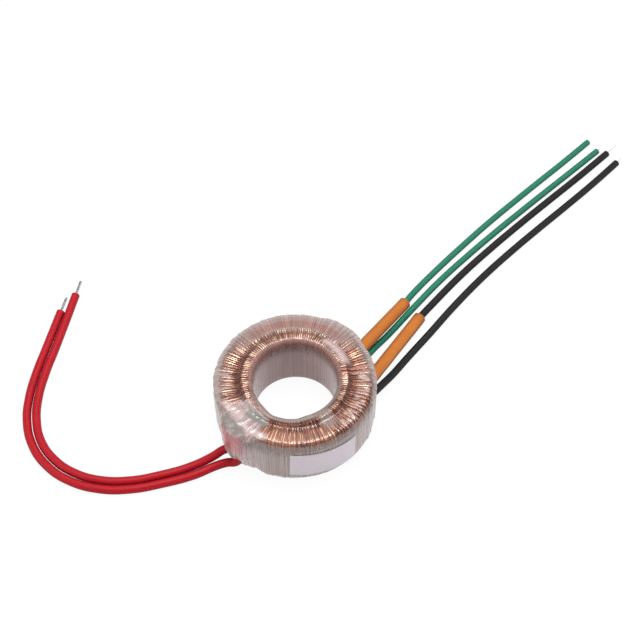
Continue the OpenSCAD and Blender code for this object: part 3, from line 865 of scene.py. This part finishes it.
foam, nodes, links, skin = shader("grey_foam_pad")
place = nodes.new("ShaderNodeTexCoord")
cells = nodes.new("ShaderNodeTexVoronoi")
cells.inputs["Scale"].default_value = 1600
links.new(place.outputs["Object"], cells.inputs["Vector"])
blotch = nodes.new("ShaderNodeTexNoise")
blotch.inputs["Scale"].default_value = 260
blotch.inputs["Detail"].default_value = 4
links.new(place.outputs["Object"], blotch.inputs["Vector"])
two_tone(nodes, links, blotch.outputs["Fac"], (0.14, 0.13, 0.12), (0.46, 0.36, 0.35),
         skin.inputs["Base Color"])
spread(nodes, links, cells.outputs["Distance"], 0.6, 0.9, skin.inputs["Roughness"])
raised(nodes, links, cells.outputs["Distance"], 0.15, 0.7, skin)
padding = bmesh.new()
profile = [p for p in whole_section(pad_depth)[:len(outside_of_ring())] if p[0] > 14.2]
strip = []
for r, z in profile:
    strip.append(padding.verts.new(around(r, primary_az - pad_span / 2, z)))
folds = [padding.edges.new(pair) for pair in zip(strip, strip[1:])]
low = padding.verts.new(around(ring_r - pad_depth, primary_az - pad_span / 2, red_run_bottom + 0.9))
folds.append(padding.edges.new((low, strip[0])))
bmesh.ops.spin(padding, geom=strip + [low] + folds, cent=(0, 0, 0), axis=(0, 0, 1),
               angle=math.radians(pad_span), steps=28, use_merge=False)
bmesh.ops.remove_doubles(padding, verts=padding.verts, dist=0.0005)
for vert in padding.verts:
    az = math.degrees(math.atan2(vert.co.y, vert.co.x))
    r = math.hypot(vert.co.x, vert.co.y)
    share = between(r, 20, 23.2) * (1 - between(vert.co.z, 17, 19.6) * 0.5)
    swell = blister_rise(az, share * 0.94) + 0.12 * foam_face(r, az, vert.co.z) - 0.12
    vert.co += Vector((vert.co.x / r, vert.co.y / r, 0)) * swell
    vert.co.z += 0.1 * foam_face(r + 30, az, vert.co.z) - 0.12
bmesh.ops.recalc_face_normals(padding, faces=padding.faces)
settle(padding)
bmesh.ops.solidify(padding, geom=padding.faces, thickness=0.3)
bmesh.ops.recalc_face_normals(padding, faces=padding.faces)
to_metres(padding)
pad = keep("lead_padding", padding, foam)
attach(pad, "root")
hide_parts("lead_pad")

# Outer wrap: clear polyester film, wound through the ring in many overlapping layers and
# pulled tight. The layers are clear on the faces and turn milky where they lie thickest,
# on the wall and in the bore, with small pleats along the outer edge.


def pleat(az, seed):
    """Ridged pleats across the film, 0 between them and 1 on a crest."""
    spot = Vector((7 * math.cos(math.radians(az)), 7 * math.sin(math.radians(az)), seed))
    return max(0, 1 - 3.2 * abs(noise.noise(spot)))


def facing_label(az, z):
    """1 where the film lies flat under the label."""
    return window(az, -100, -94, -41, -36) * window(z, 1, 3, 15.5, 17)


def film_place(place):
    """Where a point of the film's plain section comes to lie on the wrapped ring."""
    az = math.degrees(math.atan2(place.y, place.x))
    r = math.hypot(place.x, place.y)
    z = place.z
    wall = between(r, 20.5, 23)
    spoke = Vector((place.x / r, place.y / r, 0))
    crest = 0.2 * pleat(az, 0.3) + 0.12 * pleat(2.3 * az, 4.1)
    out = wall * crest * (1 - facing_label(az, z))
    shoulder = window(az, 30, 44, 58, 74)
    out += 0.85 * shoulder * wall * between(z, 11, 17)
    low = between(z, 0, 9)
    pinch = window(az, -131, -126, -117, -110) * (1 - low)
    out -= 0.5 * pinch * wall
    share = between(r, 19.5, 23.5) * (0.35 + 0.65 * low) * (1 - 0.75 * between(z, 16, 19.5))
    out += blister_rise(az, share)
    near_pad = window(az, -160, -153, -117, -110)
    crumple = foam_face(1.6 * r, 1.6 * az, 2.2 * z) + 0.6 * foam_face(3.1 * r, 3.1 * az, 4 * z)
    out += 0.28 * near_pad * between(r, 17, 21) * crumple
    moved = settled(place) + spoke * out
    moved.z += 0.22 * near_pad * between(z, 12, 17) * crumple * between(r, 13.5, 16)
    moved.z = min(moved.z, ring_h)
    return moved


def film_cloud(place):
    """How milky the film is, from 0 for clear to 1, how pale its haze is with painted highlights in
    it, how much red shows through it, how grey it is with painted shade along the near lip, and how
    brown it is with a painted shadow on the far side."""
    az = math.degrees(math.atan2(place.y, place.x))
    r = math.hypot(place.x, place.y)
    z = place.z
    front = window(az, -175, -140, -25, 15)
    far = window(az, 25, 60, 120, 160)
    wall = between(r, 23.1 - 1.9 * (1 - front) - 0.9 * far, 23.9 - 0.9 * (1 - front) - 0.5 * far)
    wall *= 1 - 0.5 * front * between(z, 12, 18.5)
    inner = 1 - between(r, 12.75, 13.6)
    bore = inner * (1 - 0.35 * between(z, 12, 16.5))
    # Browner along the top of the bore, away from the front.
    browner_lip = (1 - front) * (1 - between(r, 13.1, 13.9)) * between(z, 13, 20)
    # Painted shadow: a browner band over the hump on the far side.
    shadow = far * window(r, 17.5, 18.9, 20, 22) * between(z, 15, 17)
    under = 1 - between(z, 1, 4)
    near_band = window(az, -140, -128, -75, -45)
    bore_lip = near_band * (1 - between(r, 13.8, 15.2)) * between(z, 15, 17)
    middle_band = window(az, -66, -60, -54, -46) * (1 - between(r, 18, 21))
    # A pale milky patch on the right of the ridge, partly a painted highlight.
    patch = window(az, 12, 22, 53, 61) * window(r, 13.9, 14.8, 16.5, 17.7) * between(z, 15, 18)
    # Painted highlights: pinkish-white glints on the hump, at the front right and on the left.
    glare = max(0, 2.4 * foam_face(1.3 * r + 40, 2.2 * az, 3)) * between(z, 15, 17)
    glare *= window(r, 18, 19.5, 22, 22.8)
    glare *= (window(az, -56, -48, 5, 15) + between(az, 165, 172)
              + (1 - between(az, -168, -160)))
    near_pad = window(az, -160, -149, -123, -114)
    crumple = min(1, max(0, 0.5 + 0.9 * foam_face(1.9 * r, 1.9 * az, 2.4 * z)))
    milky = max(0.86 * wall, 0.8 * bore, 0.7 * under, 0.65 * bore_lip, 0.7 * patch,
                0.45 * middle_band * between(z, 15, 17), 0.6 * min(1, glare),
                near_pad * between(r, 16, 19) * (0.25 + 0.5 * crumple),
                near_pad * between(r, 13, 15) * 0.4 * crumple)
    # Pale haze where the film is milky and crumpled, painted highlights from the patch and the
    # glare, and in the bore painted light that lifts its shade.
    pale = max(0.6 * patch, 0.9 * min(1, glare), near_pad * crumple ** 2, 0.45 * bore)
    lead_a = window(az, -147, -142, -128, -122) * between(z, 9, 12)
    lead_b = window(az, -133, -131, -129, -127) * between(z, 3, 5)
    rosy = max(lead_a, 0.5 * lead_b) * between(r, 22.9, 23.5) * (1 - between(z, 17, 18.8))
    # Painted shade: a dark line along the near lip of the bore.
    rim = front * between(z, 17.2, 18.3) * (1 - between(r, 13.35, 13.95))
    dull_left = (window(az, -151, -146, -130, -125)
                 * between(r, 21.6, 22.4) * between(z, 17, 18.4) * (0.4 + 0.5 * crumple))
    dull_right = (window(az, -141, -137, -119, -114)
                  * window(r, 15.6, 16.6, 18.4, 19.3) * between(z, 12, 15))
    dull_wall = (window(az, -128, -124, -112, -107)
                 * window(z, 13.5, 15, 17, 18.3) * between(r, 21, 22))
    # Grey where the foam pad shows through the crumpled film, with the painted shade of the near
    # lip.
    dull = max(0.75 * rim, dull_left, dull_right, 0.5 * dull_wall)
    # Painted highlights: a pinkish shine over the pad.
    ring_of_shine = 22 - 0.105 * (az + 157)
    shine = max(window(az, -162, -156, -139, -133)
                * (1 - between(abs(r - ring_of_shine), 0.6, 1.6)),
                window(az, -134, -130, -115, -109)
                * window(r, 20.8, 21.8, 22.6, 23.2)) * between(z, 15, 17)
    pale = max(pale, shine * (0.25 + 0.85 * crumple)) * (1 - 0.8 * dull)
    milky = max(milky, 0.8 * dull, 0.72 * shadow, 0.7 * browner_lip, 0.7 * shine, rosy)
    blush = max(0.85 * rosy * (0.5 + 0.5 * crumple), 0.1 * bore)
    # The last value, brown, is the browner lip, the painted shadow on the far hump and some painted
    # shade along the near lip.
    return milky, pale, blush, dull, max(0.75 * browner_lip, 0.8 * shadow, 0.3 * rim)


film, nodes, links, skin = shader("clear_polyester_film")
skin.inputs["IOR"].default_value = 1.6
skin.inputs["Specular IOR Level"].default_value = 0.45
skin.inputs["Coat Roughness"].default_value = 0.16
ring = round_ring(nodes, 60, 3)
ribs = nodes.new("ShaderNodeMapRange")
ribs.inputs["From Min"].default_value = 0.33
ribs.inputs["From Max"].default_value = 0.67
links.new(ring.outputs["Streak"], ribs.inputs["Value"])
below = two_tone(nodes, links, ribs.outputs["Result"], (0.26, 0.18, 0.165), (0.44, 0.36, 0.345))
# Tints laid over the film by its marks: pale, with the painted highlights; rosy, where the red
# leads show through; grey, with painted shade along the near lip; and brown in streaks, with the
# painted shadow on the far side.
for name, colour in (("pale", (0.66, 0.49, 0.47)), ("rosy", (0.42, 0.03, 0.06)),
                     ("dull", (0.2, 0.185, 0.17)), ("brown", (0.42, 0.17, 0.13))):
    mark = nodes.new("ShaderNodeAttribute")
    mark.attribute_name = name
    tint = nodes.new("ShaderNodeMix")
    tint.data_type = "RGBA"
    tint.inputs["B"].default_value = (*colour, 1)
    links.new(mark.outputs["Fac"], tint.inputs["Factor"])
    links.new(below, tint.inputs["A"])
    below = tint.outputs["Result"]
two_tone(nodes, links, ribs.outputs["Result"], (0.1, 0.03, 0.02), colour, tint.inputs["B"])
links.new(below, skin.inputs["Base Color"])
# The brown mark, with its painted shadow, also takes away the coat and roughens the film.
gloss = nodes.new("ShaderNodeMapRange")
gloss.inputs["From Max"].default_value = 0.6
gloss.inputs["To Min"].default_value = 0.45
gloss.inputs["To Max"].default_value = 0
links.new(mark.outputs["Fac"], gloss.inputs["Value"])
links.new(gloss.outputs["Result"], skin.inputs["Coat Weight"])
rough = nodes.new("ShaderNodeMix")
rough.inputs["B"].default_value = 0.8
links.new(mark.outputs["Fac"], rough.inputs["Factor"])
spread(nodes, links, ring.outputs["Streak"], 0.18, 0.36, rough.inputs["A"])
links.new(rough.outputs["Result"], skin.inputs["Roughness"])
cloud = nodes.new("ShaderNodeAttribute")
cloud.attribute_name = "cloud"
grazing = nodes.new("ShaderNodeLayerWeight")
grazing.inputs["Blend"].default_value = 0.25
edge_on = nodes.new("ShaderNodeMath")
edge_on.operation = "MULTIPLY_ADD"
edge_on.inputs[1].default_value = 0.3
edge_on.inputs[2].default_value = 0.03
links.new(grazing.outputs["Facing"], edge_on.inputs[0])
veil = nodes.new("ShaderNodeMath")
veil.operation = "MULTIPLY"
links.new(ring.outputs["Streak"], veil.inputs[0])
links.new(edge_on.outputs[0], veil.inputs[1])
cover = nodes.new("ShaderNodeMath")
cover.operation = "MULTIPLY_ADD"
cover.use_clamp = True
cover.inputs[1].default_value = 0.8
links.new(cloud.outputs["Fac"], cover.inputs[0])
links.new(veil.outputs[0], cover.inputs[2])
links.new(cover.outputs[0], skin.inputs["Alpha"])
place = nodes.new("ShaderNodeTexCoord")
crinkle = nodes.new("ShaderNodeTexNoise")
crinkle.inputs["Scale"].default_value = 420
crinkle.inputs["Detail"].default_value = 3
links.new(place.outputs["Object"], crinkle.inputs["Vector"])
both = nodes.new("ShaderNodeMath")
both.operation = "ADD"
links.new(crinkle.outputs["Fac"], both.inputs[0])
links.new(ring.outputs["Streak"], both.inputs[1])
raised(nodes, links, both.outputs[0], 0.12, 0.5, skin)

wrap = spun_layer(0, 300)
mark_names = ("cloud", "pale", "rosy", "dull", "brown")
for name in mark_names:
    wrap.verts.layers.float.new(name)
marks = [wrap.verts.layers.float[name] for name in mark_names]
for vert in wrap.verts:
    for mark, amount in zip(marks, film_cloud(vert.co)):
        vert[mark] = amount
for vert in wrap.verts:
    vert.co = film_place(vert.co)
to_metres(wrap)
outer = keep("film_wrap", wrap, film)
layers = outer.modifiers.new("film_thickness", "SOLIDIFY")
layers.thickness = 0.12 * mm
layers.offset = -1
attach(outer, "root")
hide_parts("outer_wrap")

# Label: a blank slip of self-adhesive paper, cut by hand a little out of square and
# pressed on to the wall of the film.

label_w = 21.0
label_h = 11.0
label_az = -68.0
label_z = 9.2
label_tilt = -2.0
label_slope = -4.5
paper, nodes, links, skin = shader("label_paper")
fibres = mottled(nodes, links, skin, (900, 900), 5, (0.46, 0.42, 0.46), (0.56, 0.51, 0.55),
                 0.55, 0.75)
raised(nodes, links, fibres.outputs["Height"], 0.06, 0.5, skin)
slip = bmesh.new()
bmesh.ops.create_grid(slip, x_segments=42, y_segments=14, size=0.5)
tilt, slope = math.radians(label_tilt), math.radians(label_slope)
for vert in slip.verts:
    flat_x = vert.co.x * label_w
    flat_y = vert.co.y * label_h
    along = flat_x * math.cos(tilt) - flat_y * math.sin(tilt)
    up = flat_x * math.sin(slope) + flat_y * math.cos(tilt)
    az = label_az + math.degrees(along / ring_r)
    lift = 0.2 + 0.05 * noise.noise(Vector((flat_x * 0.3, flat_y * 0.4, 2)))
    vert.co = around(ring_r + lift, az, label_z + up)
bmesh.ops.recalc_face_normals(slip, faces=slip.faces)
bmesh.ops.solidify(slip, geom=slip.faces, thickness=0.12)
bmesh.ops.recalc_face_normals(slip, faces=slip.faces)
to_metres(slip)
label = keep("paper_label", slip, paper)
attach(label, "root")
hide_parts("blank_label")
